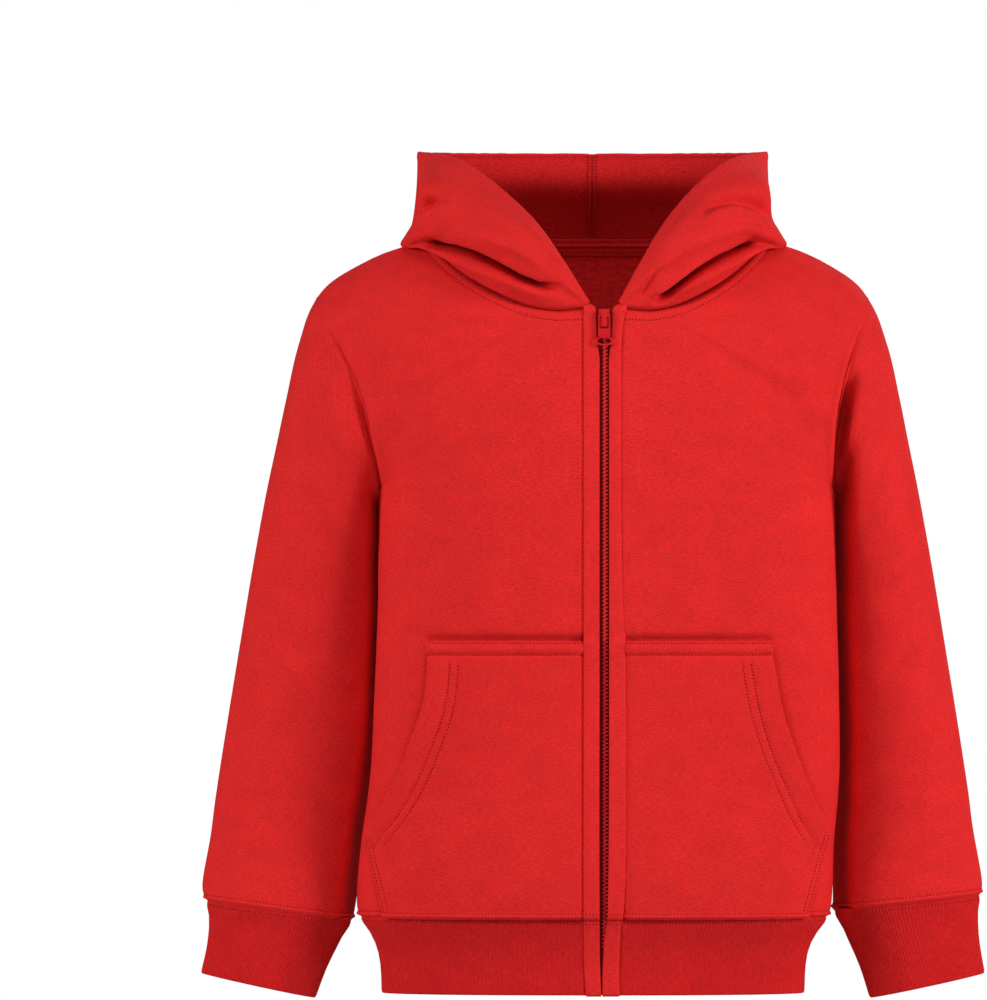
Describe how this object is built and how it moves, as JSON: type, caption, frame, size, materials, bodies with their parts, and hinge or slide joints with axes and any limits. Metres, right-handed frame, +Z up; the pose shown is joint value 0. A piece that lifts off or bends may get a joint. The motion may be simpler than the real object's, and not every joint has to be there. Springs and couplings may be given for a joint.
{
  "type": "kids zip hoodie",
  "caption": "Child's zip-front hooded sweatshirt, filled out as worn and hollow, with patch pockets, ribbed cuffs and waistband, and a zip pull that swings.",
  "frame": {"origin": "middle of the wearer's shoulders: on the garment's middle plane, at the height of the shoulder points", "axes": "+Z up, -Y out of the zipped front, +X towards the wearer's left"},
  "size_m": [0.5486, 0.2343, 0.5933],
  "materials": {
    "fleece": "brushed-back cotton sweatshirt knit, matt",
    "rib": "ribbed knit, matt",
    "binding": "narrow woven and knit tape, matt",
    "zip_tape": "woven polyester tape",
    "zip_plastic": "moulded satin plastic",
    "zip_enamel": "red enamel over die-cast metal"
  },
  "bodies": {
    "garment": {"back": "fleece", "front_right": "fleece", "front_left": "fleece", "sleeve_right": "fleece", "sleeve_left": "fleece", "hood_right": "fleece", "hood_left": "fleece", "pocket_right": "fleece", "pocket_left": "fleece", "cuff_right": "rib", "cuff_left": "rib", "hem_rib": "rib", "hem_end_right": "binding", "hem_end_left": "binding", "band_right": "binding", "band_left": "binding", "neck_tape": "binding", "zip_tape_right": "zip_tape", "zip_tape_left": "zip_tape", "zip_teeth": "zip_plastic", "zip_slider": "zip_enamel"},
    "pull_tab": {"pull_tab": "zip_enamel"}
  },
  "joints": [
    {"name": "pull_tab_hinge", "type": "hinge", "parent": "garment", "child": "pull_tab", "pos_m": [0.0072, -0.08163, -0.05059], "axis": [-1, 0, 0], "range_deg": [0, 150]}
  ]
}
